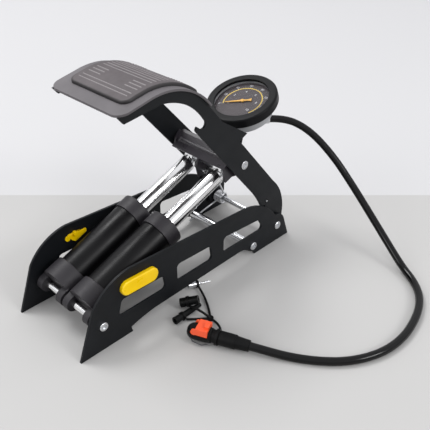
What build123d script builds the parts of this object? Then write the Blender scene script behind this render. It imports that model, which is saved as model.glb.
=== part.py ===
from build123d import *
import os
from math import cos, hypot, pi, radians, sin, tan

# Twin-cylinder foot air pump with a gauge, a hose and a clip-on valve head.
# Millimetres, +Z up. The shapes are drawn with the toe tip of the base at x = 0 and the heel
# towards +X, the right side at -Y, and are moved at the end so that the origin is under the middle.

os.makedirs("parts", exist_ok=True)

# Overall sizes
HALF_LENGTH = 150.0          # half of the length from the toe tip to the end of the hose barb
FOOT_LENGTH = 290.0
BASE_HALF = 50.0             # outer face of a side plate
SHEET = 2.5                  # steel sheet of the side plates and lever arms
ARM_HALF = 46.0              # outer face of a lever arm
PEDAL_HALF = 48.5
PEDAL_SHEET = 2.0
FIT = 0.05                   # radial running clearance of pins and rods

# Pivots, as (x, z)
FRONT = (27.4, 27.3)         # barrels turn on this rod
AXLE = (269.3, 20.9)         # lever turns on this axle
TIE = (229.5, 12.5)          # lower rod that the springs hook on
YOKE_PIVOT = (216.7, 115.9)  # yoke of the piston rods, in the lever

ROD_R = 3.5                  # front pivot rod
AXLE_R = 3.0
SCREW_R = 2.5
SCREW_HEAD_R = 4.6
PAN_HEAD = 2.4               # height of the base screws' heads
LOW_HEAD = 1.2               # height of the yoke pivot screws' heads, which pass the side plates

# Pumps, along their own axis from the front rod
PUMP_TILT = 21.4
PUMP_Y = {"right": -18.0, "left": 24.0}
BORE_R = 15.6
TUBE_R = 17.5
CAP_R = 20.0
COLLAR_R = 19.0
CAP_SPAN = (4.5, 24.5)
TUBE_SPAN = (10.0, 112.0)
COLLAR_SPAN = (101.0, 116.4)
ROD_TUBE_R = 8.7
PISTON_SPAN = (88.0, 98.0)
EYE_S = 201.0                # rod end pin
PIN_R = 4.0

# Gauge
GAUGE = (263.0, 0.0, 156.0)
GAUGE_TILT = 20.0            # the dial faces up and towards the pedal
BOOT_R = 38.2
BOOT_SPAN = (-5.0, 6.0)
WINDOW_R = 29.5
CASE_R = 32.0
CASE_BACK = -18.0
CASE_BACK_R = 29.0

# Hose
HOSE_R = 4.0
HOSE_BORE_R = 2.5


def solid_list(shape):
    """The separate solids of a shape, as a plain list."""
    return list(shape.solids())


def emit(name, *shapes):
    """Write one node, moved so that the origin is under the middle of the pump."""
    solids = [s for shape in shapes for s in solid_list(shape)]
    moved = [s.moved(Location((-HALF_LENGTH, 0, 0))) for s in solids]
    result = moved[0] if len(moved) == 1 else Compound(children=moved)
    export_step(result, f"parts/{name}.step")
    box = Compound(children=[s.moved(Location()) for s in moved]).bounding_box()
    if name not in CORD_NODES:
        BOXES.append(box)


BOXES = []
CORD_NODES = (
    "hose", "valve_sleeve", "valve_head", "valve_gasket", "valve_lever", "valve_pin", "wire_clip",
    "adapter_strap", "needle_adapter", "cone_adapter", "long_adapter",
)


def bar_y(xz, radius, y_low, y_high):
    """A round bar across the pump at (x, z)."""
    middle = (xz[0], (y_low + y_high) / 2, xz[1])
    return Location(middle, (90, 0, 0)) * Cylinder(radius, y_high - y_low)


def rounded_polygon(points, radius):
    """A closed outline through (x, z) points with rounded corners."""
    sketch = make_face(Polyline(*points, close=True))
    return fillet(sketch.vertices(), radius)


def side_span(sign, near, far):
    """The y range between two distances from the middle, on the side that sign gives."""
    return sorted((sign * near, sign * far))


def sheet_from(sketch, y_low, y_high):
    """Extrude a ready (x, z) sketch from y_low to y_high."""
    plane = Plane(origin=(0, y_high, 0), x_dir=(1, 0, 0), z_dir=(0, -1, 0))
    return extrude(plane * sketch, y_high - y_low)


# ---------------------------------------------------------------- base frame

FOOT_FRONT = 60.0            # rear end of the front foot
FOOT_REAR = 233.0            # front end of the rear foot
AXLE_HUMP_R = 13.0


def side_plate_outline():
    """Outline of one side plate: pointed toe, raised middle, rounded heel around the axle."""
    hump = (AXLE[0] + AXLE_HUMP_R * cos(radians(20)), AXLE[1] + AXLE_HUMP_R * sin(radians(20)))
    front_edge = [
        Line((0, 0), (18.0, 47.0)),
        ThreePointArc((18.0, 47.0), (36.0, 65.0), (62.0, 73.5)),
        Line((62.0, 73.5), (214.0, 65.5)),
    ]
    rear_edge = [
        ThreePointArc((214.0, 65.5), (243.0, 57.0), (266.0, 35.5)),
        ThreePointArc((266.0, 35.5), (276.5, 32.0), hump),
        Line(hump, (FOOT_LENGTH, 1.5)),
        Line((FOOT_LENGTH, 1.5), (FOOT_LENGTH, 0)),
    ]
    under = [
        Line((FOOT_LENGTH, 0), (FOOT_REAR, 0)),
        Line((FOOT_REAR, 0), (231.0, 5.0)),
        ThreePointArc((231.0, 5.0), (226.0, 7.0), (221.0, 10.5)),
        ThreePointArc((221.0, 10.5), (214.0, 13.8), (206.0, 14.5)),
        Line((206.0, 14.5), (96.0, 12.0)),
        ThreePointArc((96.0, 12.0), (76.0, 10.3), (58.5, 6.2)),
        Line((58.5, 6.2), (FOOT_FRONT, 0)),
        Line((FOOT_FRONT, 0), (0, 0)),
    ]
    return front_edge + rear_edge + under


SLOTS = (
    ((45.0, 26.5), (50.5, 44.0), (101.0, 43.0), (103.5, 26.8)),
    ((118.5, 27.0), (118.5, 46.8), (164.5, 45.2), (166.8, 27.8)),
    ((183.5, 27.2), (183.5, 46.0), (238.0, 42.0), (246.5, 27.5)),
)
SLOT_CORNER = 4.5
INNER = BASE_HALF - SHEET    # inner face of a side plate
CATCH_Z = 60.0
CATCH_X = 66.0
CATCH_TRAVEL = 9.0
NECK_LENGTH = 8.2
NECK_WIDTH = 4.2


def catch_slot():
    """Slot that the neck of the storage catch slides in."""
    middle = CATCH_X + CATCH_TRAVEL / 2
    return Pos(middle, CATCH_Z) * SlotOverall(CATCH_TRAVEL + NECK_LENGTH + 0.2, NECK_WIDTH + 0.2)


def side_plate(sign):
    """One side plate of the base; sign is -1 on the right and +1 on the left."""
    face = make_face(side_plate_outline())
    for corners in SLOTS:
        face -= rounded_polygon(corners, SLOT_CORNER)
    face -= catch_slot()
    for x, z in (FRONT, AXLE, TIE):
        face -= Pos(x, z) * Circle(SCREW_R + 0.2)
    return sheet_from(face, *side_span(sign, INNER, BASE_HALF))


TAP_WALL = 1.2               # wall of a cross bar round its screw
SCREW_DEPTH = 12.0


def tapped_bar(xz, radius):
    """A cross bar between the side plates, tapped at both ends."""
    bar = bar_y(xz, radius, -INNER, INNER)
    for sign in (-1, 1):
        bar -= bar_y(xz, radius - TAP_WALL + FIT, *side_span(sign, INNER - SCREW_DEPTH, INNER))
    return bar


SOCKET_R = 2.3               # over the corners of the hexagon socket


def screw(xz, sign, face_y, shank_r, length, head_height):
    """Round-head screw with a hexagon socket; the head sits outside face_y."""
    top_y = face_y + head_height
    head = bar_y(xz, SCREW_HEAD_R, *side_span(sign, face_y, top_y))
    outer = head.faces().sort_by(Axis.Y)[-1 if sign > 0 else 0]
    head = fillet(outer.edges(), head_height / 2)
    shank = bar_y(xz, shank_r, *side_span(sign, face_y - length, face_y))
    socket_plane = Plane(origin=(xz[0], sign * top_y, xz[1]), x_dir=(1, 0, 0), z_dir=(0, -sign, 0))
    socket = extrude(socket_plane * RegularPolygon(SOCKET_R, 6), 0.6 * head_height)
    return head + shank - socket


def base_screws():
    """Six screws that hold the three cross bars."""
    bars = ((FRONT, ROD_R), (AXLE, AXLE_R), (TIE, AXLE_R))
    length = SHEET + SCREW_DEPTH - 2.5
    return [
        screw(place, sign, BASE_HALF, radius - TAP_WALL, length, PAN_HEAD)
        for place, radius in bars for sign in (-1, 1)
    ]


SLEEVE_R = 4.3
SLEEVE_ENDS = (6.0, 44.0)


def tie_rod_sleeves():
    """Two sleeves on the tie rod that the spring legs bear on."""
    result = []
    for sign in (-1, 1):
        span = side_span(sign, *SLEEVE_ENDS)
        result.append(bar_y(TIE, SLEEVE_R, *span) - bar_y(TIE, AXLE_R + FIT, *span))
    return result


# Return springs
WIRE_R = 1.1
COIL_R = 6.2
COIL_TURNS = 4.5
COIL_PITCH = 2.4
COIL_Y = 31.2                # inner end of the coil
LEG_HOLE = (254.5, 57.2)     # where the upper leg hooks into the lever arm
HOLE_R = 1.7


def wire(start, end):
    """A straight piece of spring wire with rounded ends."""
    a, b = Vector(*start), Vector(*end)
    run = b - a
    plane = Plane(origin=a, z_dir=run)
    rod = plane * Pos(0, 0, run.length / 2) * Cylinder(WIRE_R, run.length)
    return rod + Pos(a) * Sphere(WIRE_R) + Pos(b) * Sphere(WIRE_R)


def return_spring(sign):
    """Torsion spring on the axle: lower leg on the tie rod sleeve, upper leg in the lever arm."""
    height = COIL_TURNS * COIL_PITCH
    helix = Helix(pitch=COIL_PITCH, height=height, radius=COIL_R)
    section = Plane(origin=helix @ 0, z_dir=helix % 0) * Circle(WIRE_R)
    coil = sweep(section, path=helix, is_frenet=True)
    # stand the coil on the axle; its first turn starts under the axle and its last ends above it
    coil = Rot(90, 0, 0) * Rot(0, 0, -90) * coil
    coil = Pos(AXLE[0], COIL_Y + height, AXLE[1]) * coil
    low_y = COIL_Y + height
    under = TIE[1] - SLEEVE_R - WIRE_R - 0.5
    bottom = (AXLE[0], low_y, AXLE[1] - COIL_R)
    lower = wire(bottom, (TIE[0] - 7.0, low_y, under - 1.0))
    top = (AXLE[0], COIL_Y, AXLE[1] + COIL_R)
    knee = (LEG_HOLE[0], COIL_Y, LEG_HOLE[1])
    upper = wire(top, knee) + wire(knee, (LEG_HOLE[0], ARM_HALF + 0.6, LEG_HOLE[1]))
    spring = coil + lower + upper
    return spring if sign > 0 else mirror(spring, about=Plane.XZ)


# ---------------------------------------------------------------- lever

CREST = (112.2, 153.9)       # centre of the pedal's crest
CREST_R = 71.0               # outer face of the pedal plate
PEDAL_SLOPE = 11.5
ARM_SLOPE = -53.4
PEDAL_FRONT = 66.0


def crest_point(radius, slope):
    """Point of the crest arc where the surface has the given slope in degrees."""
    return (CREST[0] - radius * sin(radians(slope)), CREST[1] + radius * cos(radians(slope)))


def pedal_strip(outer_r, inner_r, x_front=PEDAL_FRONT, end_slope=ARM_SLOPE):
    """Side view of a layer that follows the pedal: straight in front, then round the crest."""
    def ends(radius):
        x, z = crest_point(radius, PEDAL_SLOPE)
        front = (x_front, z - (x - x_front) * tan(radians(PEDAL_SLOPE)))
        middle_slope = (PEDAL_SLOPE + end_slope) / 2
        return front, (x, z), crest_point(radius, middle_slope), crest_point(radius, end_slope)

    o_front, o_start, o_mid, o_end = ends(outer_r)
    i_front, i_start, i_mid, i_end = ends(inner_r)
    return make_face([
        Line(o_front, o_start), ThreePointArc(o_start, o_mid, o_end), Line(o_end, i_end),
        ThreePointArc(i_end, i_mid, i_start), Line(i_start, i_front), Line(i_front, o_front),
    ])


ARM_TOP_R = CREST_R - PEDAL_SHEET
ARM_INNER = ARM_HALF - SHEET
WINDOW_ARC_R = 57.5
ARM_FOOT_R = 12.5
# The rear edge below the pedal: the right arm has a tab beside the gauge, the left arm is plain
REAR_EDGE = {
    "right": [(185.0, 173.5), (220.0, 149.7), (209.3, 145.0), (264.5, 78.0)],
    "left": [(186.0, 168.5), (264.5, 78.0)],
}


def lever_arm_outline(side):
    """Outline of one lever arm: flange under the pedal, catch hook, strip down to the axle."""
    top_start = crest_point(ARM_TOP_R, PEDAL_SLOPE)
    top_mid = crest_point(ARM_TOP_R, (PEDAL_SLOPE + ARM_SLOPE) / 2)
    top_end = crest_point(ARM_TOP_R, ARM_SLOPE)
    front_x = PEDAL_FRONT + 1.0
    front_top = (front_x, top_start[1] - (top_start[0] - front_x) * tan(radians(PEDAL_SLOPE)))
    window_start = crest_point(WINDOW_ARC_R + 2.0, 0)
    window_mid = crest_point(WINDOW_ARC_R, -28)
    window_end = crest_point(WINDOW_ARC_R, -60)
    foot_rear = (AXLE[0] + ARM_FOOT_R, AXLE[1])
    foot_front = (AXLE[0] - ARM_FOOT_R, AXLE[1])
    rear = [
        Line(front_top, top_start),
        ThreePointArc(top_start, top_mid, top_end),
        Polyline(top_end, *REAR_EDGE[side]),
        ThreePointArc(REAR_EDGE[side][-1], (278.3, 58.0), (282.8, 37.0)),
        Line((282.8, 37.0), foot_rear),
        ThreePointArc(foot_rear, (AXLE[0], AXLE[1] - ARM_FOOT_R), foot_front),
    ]
    front = [
        ThreePointArc(foot_front, (247.0, 52.0), (229.0, 80.0)),
        Line((229.0, 80.0), (151.6, 174.0)),
        ThreePointArc((151.6, 174.0), (151.0, 177.0), (152.8, 179.0)),
        Line((152.8, 179.0), (157.0, 175.4)),
        ThreePointArc((157.0, 175.4), (161.2, 175.6), window_end),
        ThreePointArc(window_end, window_mid, window_start),
        Line(window_start, (72.0, 208.8)),
        Line((72.0, 208.8), front_top),
    ]
    return rear + front


def lever_arm(side, sign):
    """One stamped arm of the lever, with holes for its bush, the pivot screw and the spring leg."""
    face = make_face(lever_arm_outline(side))
    face -= Pos(*AXLE) * Circle(BUSH_R + 0.02)
    face -= Pos(*YOKE_PIVOT) * Circle(SCREW_R + 0.1)
    face -= Pos(*LEG_HOLE) * Circle(HOLE_R + 0.6)
    face -= Pos(LEG_HOLE[0] - 3.5, LEG_HOLE[1] - 5.5) * Circle(HOLE_R)
    return sheet_from(face, *side_span(sign, ARM_INNER, ARM_HALF))


BUSH_R = 4.9


def axle_bushes():
    """Flanged nylon bushes that the arms turn on."""
    result = []
    for sign in (-1, 1):
        body = bar_y(AXLE, BUSH_R, *side_span(sign, ARM_INNER - 0.8, ARM_HALF + 0.8))
        flange = bar_y(AXLE, BUSH_R + 2.2, *side_span(sign, ARM_HALF + 0.05, ARM_HALF + 1.1))
        bore = bar_y(AXLE, AXLE_R + FIT, *side_span(sign, ARM_INNER - 3, ARM_HALF + 2))
        result.append(body + flange - bore)
    return result


def pedal_plate():
    """Curved steel tread plate with rounded front corners, wider than the arms."""
    plate = sheet_from(pedal_strip(CREST_R, ARM_TOP_R), -PEDAL_HALF, PEDAL_HALF)
    plan = Rectangle(160.0, 2 * PEDAL_HALF, align=(Align.MIN, Align.CENTER))
    plan = fillet(plan.vertices().group_by(Axis.X)[0], 11.0)
    plate &= Pos(PEDAL_FRONT, 0, 150) * extrude(plan, 100)
    for x, y in stud_places():
        plate -= Pos(x, y, 220) * Cylinder(2.1, 60)
    return plate


PAD_HALF = 39.0
PAD_THICK = 3.4
PAD_FRONT = 79.0
PAD_END_SLOPE = -46.0


def stud_places():
    """Where the pad's moulded studs pass through the plate."""
    return [(x, y) for x in (92.0, 126.0) for y in (-24.0, 24.0)]


def pedal_pad():
    """Rubber pad moulded to the plate's curve, with four studs underneath."""
    strip = pedal_strip(CREST_R + PAD_THICK, CREST_R + 0.05, PAD_FRONT, PAD_END_SLOPE)
    pad = sheet_from(strip, -PAD_HALF, PAD_HALF)
    rear = crest_point(CREST_R + PAD_THICK, PAD_END_SLOPE)[0]
    plan = RectangleRounded(rear - PAD_FRONT, 2 * PAD_HALF, 9.0)
    pad &= Pos((PAD_FRONT + rear) / 2, 0, 150) * extrude(plan, 100)
    for x, y in stud_places():
        pad += Pos(x, y, 221.3) * Cylinder(2.0, 9.0)
    return pad


PIVOT_END = 36.6             # inner end of the pivot screws


def yoke_pivot_screws():
    """Two screws through the arms; their plain ends are the yoke's pivots."""
    length = ARM_HALF - PIVOT_END
    return [screw(YOKE_PIVOT, sign, ARM_HALF, SCREW_R, length, LOW_HEAD) for sign in (-1, 1)]


# ---------------------------------------------------------------- pumps and yoke

def on_pump(shape, y):
    """Place a shape that was drawn along +X from the front rod onto a pump's real axis."""
    return Location((FRONT[0], y, FRONT[1]), (0, -PUMP_TILT, 0)) * shape


def ring(outer, inner, span):
    """A hollow round piece along a pump's axis."""
    length = span[1] - span[0]
    body = Cylinder(outer, length) - Cylinder(inner, length) if inner else Cylinder(outer, length)
    return Location(((span[0] + span[1]) / 2, 0, 0), (0, 90, 0)) * body


LUG_WIDTH = 8.0
LUG_GAP = 23.0
LUG_R = 8.0


def bottom_cap():
    """Cup over the barrel's lower end with two lugs that turn on the front rod."""
    cap = ring(CAP_R, 0, CAP_SPAN)
    cap = fillet(cap.faces().sort_by(Axis.X)[-1].edges(), 1.2)
    cap -= ring(TUBE_R + FIT, 0, (TUBE_SPAN[0], CAP_SPAN[1]))
    for side in (-1, 1):
        middle = side * (LUG_GAP + LUG_WIDTH) / 2
        lug = Pos(0, middle, 0) * Rot(90, 0, 0) * Cylinder(LUG_R, LUG_WIDTH)
        neck = Pos(CAP_SPAN[0] / 2 + 1, middle, 0) * Box(CAP_SPAN[0] + 2, LUG_WIDTH, 2 * LUG_R)
        cap += lug + neck
    cap -= Rot(90, 0, 0) * Cylinder(ROD_R + FIT, 3 * CAP_R)
    return cap - Box(2 * CAP_SPAN[0], LUG_GAP, 2 * LUG_R)


def barrel_tube():
    """Pump barrel, a plain tube."""
    return ring(TUBE_R, BORE_R, TUBE_SPAN)


def top_collar():
    """Collar over the barrel's upper end, open round the guide bush."""
    collar = ring(COLLAR_R, 0, COLLAR_SPAN)
    collar = fillet(collar.faces().sort_by(Axis.X)[-1].edges(), 1.6)
    collar -= ring(TUBE_R + FIT, 0, (COLLAR_SPAN[0], TUBE_SPAN[1]))
    return collar - ring(13.5, 0, (TUBE_SPAN[1] - 1, COLLAR_SPAN[1] + 1))


def guide_bush():
    """Plastic bush in the barrel's mouth that guides the rod."""
    seat = ring(BORE_R - FIT, 0, (102.0, TUBE_SPAN[1]))
    neck = ring(13.5 - FIT, 0, (TUBE_SPAN[1], COLLAR_SPAN[1] - 1.6))
    return seat + neck - ring(ROD_TUBE_R + FIT, 0, (100, 120))


FLARE_SPAN = (190.5, 195.5)  # the round tube turns into the flat eye here
ROD_WALL = 1.5
ROD_FOOT = PISTON_SPAN[1] - 6.0   # the rod stands this deep in the piston
EYE_R = 9.4
EYE_THICK = 11.0


def across(s, radius, length):
    """A round bar across a pump at distance s along its axis, drawn before on_pump."""
    return Pos(s, 0, 0) * Rot(90, 0, 0) * Cylinder(radius, length)


def piston_rod():
    """Chromed tube whose upper end is pinched into an eye."""
    low, high = FLARE_SPAN
    tube = ring(ROD_TUBE_R, 0, (ROD_FOOT, low))
    tube -= ring(ROD_TUBE_R - ROD_WALL, 0, (ROD_FOOT, low - 6.0))
    round_end = Plane(origin=(low, 0, 0), z_dir=(1, 0, 0)) * Circle(ROD_TUBE_R)
    flat_plane = Plane(origin=(high, 0, 0), x_dir=(0, 1, 0), z_dir=(1, 0, 0))
    flare = loft([round_end, flat_plane * Ellipse(EYE_THICK / 2, EYE_R - 2.0)])
    eye = across(EYE_S, EYE_R, EYE_THICK)
    return tube + flare + eye - across(EYE_S, PIN_R + FIT, 4 * EYE_R)


CUP_GROOVE_R = 12.0


def piston():
    """Plastic piston on the rod's lower end, grooved for its cup and bored for the air."""
    body = ring(BORE_R - 0.25, 0, PISTON_SPAN)
    body -= ring(BORE_R, CUP_GROOVE_R, (90.0, 94.0))
    body -= ring(ROD_TUBE_R + FIT, 0, (ROD_FOOT, PISTON_SPAN[1]))
    return body - ring(3.0, 0, PISTON_SPAN)


def piston_cup():
    """Rubber cup in the piston's groove; it seals on the down stroke."""
    return ring(BORE_R - 0.02, CUP_GROOVE_R + FIT, (90.3, 93.7))


def check_valve():
    """Rubber valve disc and stem in the rod, over the piston's bore."""
    disc = ring(5.5, 0, (92.2, 93.8))
    stem = ring(1.5, 0, (93.0, 99.0))
    return disc + stem


def to_axis(s, n):
    """Point (x, z) at distance s along the pumps' axis and n above it."""
    a = radians(PUMP_TILT)
    return (FRONT[0] + s * cos(a) - n * sin(a), FRONT[1] + s * sin(a) + n * cos(a))


YOKE_HALF = 39.4             # outer face of the yoke's end plates
YOKE_SHEET = 2.0
TAB_Y = (2.0, 4.0)
# The pivot's slot in the end plates
SLOT_LENGTH = 22.4
SLOT_WIDTH = 8.0
SLOT_ANGLE = 118.6           # direction of the slot, from the pumps' axis
SLOT_SHIFT = -0.6            # how far the slot's middle is from the pivot, across the slot

HOOD_LINE = [(197.7, 113.3), (205.0, 120.4), (211.7, 125.7), (215.0, 127.2)]
BEAD_R = 2.3
BEAD_END = 34.0
UPPER_EDGE = [(223.0, 101.5), (229.5, 104.5), (229.0, 112.5), (208.0, 130.0), (201.5, 123.5)]
# The right plate hangs lower; the left one stays clear of its pump's collar
END_PLATE = {
    "right": [(193.5, 116.5), (195.9, 100.4), (205.6, 104.1)] + UPPER_EDGE,
    "left": [(199.5, 113.0), (211.5, 106.0)] + UPPER_EDGE,
}
TAB_OUTLINE = [
    (201.0, 115.5), (196.6, 103.5), (199.9, 89.5), (212.0, 92.5),
    (222.0, 97.0), (214.0, 125.8), (203.5, 118.5),
]


def pivot_slot():
    """Slot that the lever's pivot moves along in an end plate."""
    tilt = SLOT_ANGLE + PUMP_TILT
    shift = radians(tilt - 90)
    middle = (YOKE_PIVOT[0] + SLOT_SHIFT * cos(shift), YOKE_PIVOT[1] + SLOT_SHIFT * sin(shift))
    return Pos(*middle) * Rot(0, 0, tilt) * SlotOverall(SLOT_LENGTH, SLOT_WIDTH)


def yoke():
    """Folded hood over the rod ends with a beaded fold, slotted end plates and a middle tab."""
    inner = YOKE_HALF - YOKE_SHEET
    body = sheet_from(trace(Polyline(*HOOD_LINE), YOKE_SHEET), -YOKE_HALF, YOKE_HALF)
    body += bar_y(HOOD_LINE[1], BEAD_R, -inner, BEAD_END)
    body += Pos(HOOD_LINE[1][0], BEAD_END, HOOD_LINE[1][1]) * Sphere(BEAD_R + 0.7)
    for side, sign in (("right", -1), ("left", 1)):
        end_face = rounded_polygon(END_PLATE[side], 1.5)
        body += sheet_from(end_face, *side_span(sign, inner, YOKE_HALF))
    for sign in (-1, 1):
        body -= sheet_from(pivot_slot(), *side_span(sign, PIVOT_END - 0.3, YOKE_HALF + 1))
    body += sheet_from(make_face(Polyline(*TAB_OUTLINE, close=True)), *TAB_Y)
    return body - bar_y(to_axis(EYE_S, 0), PIN_R + 0.02, *TAB_Y)


PIN_REACH = 2.4              # the pin stands out of each eye by this much


def rod_end_pin():
    """Hollow pin through the yoke's tab and both rod eyes; the air passes along it."""
    place = to_axis(EYE_S, 0)
    reach = EYE_THICK / 2 + PIN_REACH
    low, high = PUMP_Y["right"] - reach, PUMP_Y["left"] + reach
    pin = bar_y(place, PIN_R, low, high) - bar_y(place, PIN_R / 2, low + 3, high - 3)
    for y in (low + 0.9, high - 0.9):
        pin += bar_y(place, PIN_R + 1.2, y - 0.6, y + 0.6)
    return pin


UNION_AT = 190.4             # the union's nipple stays above the collars at full stroke
UNION_R = 2.4


def air_union():
    """Small union on the tab that joins the two rods' air."""
    place = to_axis(EYE_S, 0)
    block = bar_y(place, 7.0, TAB_Y[1] + 0.05, TAB_Y[1] + 6.0) - bar_y(place, PIN_R + 0.02, 0, 20)
    nipple = bar_y(to_axis(UNION_AT, 0), UNION_R, TAB_Y[0] - 5.0, TAB_Y[0] - 0.05)
    return [block, nipple]


# ---------------------------------------------------------------- storage catches

THUMB_AT = (70.5, 55.6)
THUMB_LENGTH = 43.0
THUMB_WIDTH = 15.0
KEEPER_HEAD = (61.8, 58.2)
KEEPER_BODY = [(62.5, 61.2), (84.0, 61.0), (84.0, 57.0), (70.0, 51.5), (66.0, 54.8)]
PEG_R = 2.4


def catch(sign):
    """Yellow sliding catch: thumb piece outside, neck through the slot, keeper and peg inside."""
    thumb = Pos(*THUMB_AT) * Rot(0, 0, -2) * SlotOverall(THUMB_LENGTH, THUMB_WIDTH)
    outside = sheet_from(thumb, *side_span(sign, BASE_HALF + 0.2, BASE_HALF + 4.4))
    rim = outside.faces().sort_by(Axis.Y)[-1 if sign > 0 else 0].edges()
    outside = fillet(rim, 1.6)
    neck = Pos(CATCH_X, CATCH_Z) * SlotOverall(NECK_LENGTH, NECK_WIDTH)
    neck = sheet_from(neck, *side_span(sign, INNER - 1.0, BASE_HALF + 1.0))
    keeper_span = side_span(sign, INNER - 1.3, INNER - 0.15)
    keeper = sheet_from(rounded_polygon(KEEPER_BODY, 0.8), *keeper_span)
    keeper += bar_y(KEEPER_HEAD, 3.0, *keeper_span)
    peg = bar_y((CATCH_X + 4.0, CATCH_Z + 1.6), PEG_R, *side_span(sign, ARM_INNER + 0.1, INNER - 0.5))
    return outside + neck + keeper + peg


# ---------------------------------------------------------------- gauge

def on_gauge(shape):
    """Place a shape drawn about the gauge's own axis, dial facing +Z."""
    return Location(GAUGE, (0, -GAUGE_TILT, 0)) * shape


def disc(radius, low, high):
    """A round plate about the gauge's axis."""
    return Pos(0, 0, (low + high) / 2) * Cylinder(radius, high - low)


def gauge_boot():
    """Rubber boot round the gauge."""
    body = disc(BOOT_R, *BOOT_SPAN)
    body = fillet(body.edges(), 2.2)
    body -= disc(WINDOW_R, 3.4, BOOT_SPAN[1] + 1)
    return body - disc(CASE_R + FIT, BOOT_SPAN[0] - 1, 3.4)


def gauge_case():
    """Grey case: a cup with a coned back, open at the front."""
    outside = disc(CASE_R, -7.5, 2.0)
    cone = Pos(0, 0, (CASE_BACK - 7.5) / 2) * Cone(CASE_BACK_R, CASE_R, -7.5 - CASE_BACK)
    hollow = disc(CASE_R - 1.5, -7.5, 3.0)
    hollow_cone = Pos(0, 0, (CASE_BACK + 1.5 - 7.5) / 2) * Cone(CASE_BACK_R - 1.0, CASE_R - 1.5, -9.0 - CASE_BACK)
    return outside + cone - hollow - hollow_cone - disc(5.05, CASE_BACK - 1, CASE_BACK + 3)


def gauge_dial():
    """Printed dial plate."""
    return disc(CASE_R - 1.6, -0.8, 0) - disc(1.6, -2, 2)


def gauge_lens():
    """Clear lens behind the boot's lip."""
    return disc(CASE_R - 0.05, 2.1, 3.3)


NEEDLE_ZERO = 122.0          # degrees about the gauge's axis; the pointer's rest direction
NEEDLE_Z = (0.9, 1.5)


def gauge_needle():
    """Pointer with a counterweight tail on its spindle."""
    half = [(19.0, 0.35), (0, 1.3), (-6.0, 0.9), (-10.0, 2.2)]
    outline = half + [(x, -y) for x, y in reversed(half)]
    blade = extrude(make_face(Polyline(*outline, close=True)), NEEDLE_Z[1] - NEEDLE_Z[0])
    blade = Pos(0, 0, NEEDLE_Z[0]) * blade
    hub = disc(2.0, NEEDLE_Z[0] - 0.3, NEEDLE_Z[1] + 0.4)
    spindle = disc(0.9, -8.0, NEEDLE_Z[0])
    return Rot(0, 0, NEEDLE_ZERO) * (blade + hub + spindle)


def gauge_movement():
    """Brass plate that the spindle turns in, standing on the socket."""
    plate = Pos(6, 0, -5.5) * Box(22, 9, 1.6) - disc(0.97, -9, 0)
    post = Pos(14, 0, -10.4) * Box(4, 7, 8.4)
    return plate + post


def bourdon_tube():
    """Curved spring tube that unbends with the pressure."""
    arc = ring_z(22.5, 20.0, -12.0, -7.0)
    gap = Pos(15, -12, -9.5) * Box(30, 24, 8)
    return arc - gap


def ring_z(outer, inner, low, high):
    """A flat ring about the gauge's axis."""
    return disc(outer, low, high) - disc(inner, low, high)


SOCKET_LOW = -32.0


def gauge_socket():
    """Brass stem through the back of the case, with the inlet and the outlet."""
    stem = disc(5.0, -16.4, -14.6) + disc(5.0, CASE_BACK - 2.5, -16.0)
    block = disc(7.0, SOCKET_LOW, CASE_BACK - 2.3)
    arm = Pos(13, 0, -15.6) * Box(18, 6, 1.6)
    return stem + block + arm


BRACKET_HALF = ARM_INNER - 0.03
BRACKET_SHEET = 2.0
TONGUE_HALF = 13.0


def gauge_bracket():
    """Folded bracket between the arms that carries the gauge by its stem."""
    foot, bend = (232.5, 96.5), (244.5, 101.0)
    low = gauge_point(-19.0, 0, CASE_BACK - 1.25)
    high = gauge_point(9.0, 0, CASE_BACK - 1.25)
    half = BRACKET_SHEET / 2
    shelf = sheet_from(trace(Polyline(foot, bend), BRACKET_SHEET), -BRACKET_HALF, BRACKET_HALF)
    tongue_line = Polyline(bend, (low[0], low[2]), (high[0], high[2]))
    tongue = sheet_from(trace(tongue_line, BRACKET_SHEET), -TONGUE_HALF, TONGUE_HALF)
    flange_outline = Polyline(foot, bend, (249.0, 91.0), (238.0, 85.0), close=True)
    body = shelf + tongue
    for sign in (-1, 1):
        span = sorted((sign * BRACKET_HALF, sign * (BRACKET_HALF - BRACKET_SHEET)))
        body += sheet_from(make_face(flange_outline), *span)
    return body - on_gauge(disc(5.05, CASE_BACK - 6, CASE_BACK + 4))


def gauge_point(x, y, z):
    """A point given in the gauge's own frame, in the pump's frame."""
    a = radians(GAUGE_TILT)
    return (GAUGE[0] + x * cos(a) - z * sin(a), GAUGE[1] + y, GAUGE[2] + x * sin(a) + z * cos(a))


PIPE_R = 1.8
PIPE_WALL = 0.6
PIPE_Y = 41.55               # between the yoke's end plate and the lever arm
PORT_Z = -27.0                # level of the socket's ports, in the gauge's own frame


def tube_along(points, radius, bends, bore=0.0):
    """A round tube along straight runs joined by tangent arcs."""
    path = FilletPolyline(*points, radius=bends)
    start = path @ 0
    section = Plane(origin=start, z_dir=path % 0) * Circle(radius)
    if bore:
        section -= Plane(origin=start, z_dir=path % 0) * Circle(bore)
    return sweep(section, path=path)


def riser_pipe():
    """Pipe from the swivel on the left pivot to the gauge's socket."""
    start = (YOKE_PIVOT[0] + 5.6, PIPE_Y, YOKE_PIVOT[1] - 2.4)
    inlet = gauge_point(0, 7.05, PORT_Z)
    before = (inlet[0], 24.0, inlet[2])
    points = [start, (240.0, PIPE_Y, 107.0), (258.0, 36.0, 118.0), before, inlet]
    return tube_along(points, PIPE_R, [9.0, 9.0, 6.0], PIPE_R - PIPE_WALL)


def swivel_union():
    """Banjo on the left pivot screw that lets the air over to the lever."""
    eye = bar_y(YOKE_PIVOT, 6.0, YOKE_HALF + 0.3, ARM_INNER - 0.05)
    return eye - bar_y(YOKE_PIVOT, SCREW_R + 0.02, 30, 46)


BARB_DIR = (0.86, -0.5)


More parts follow.
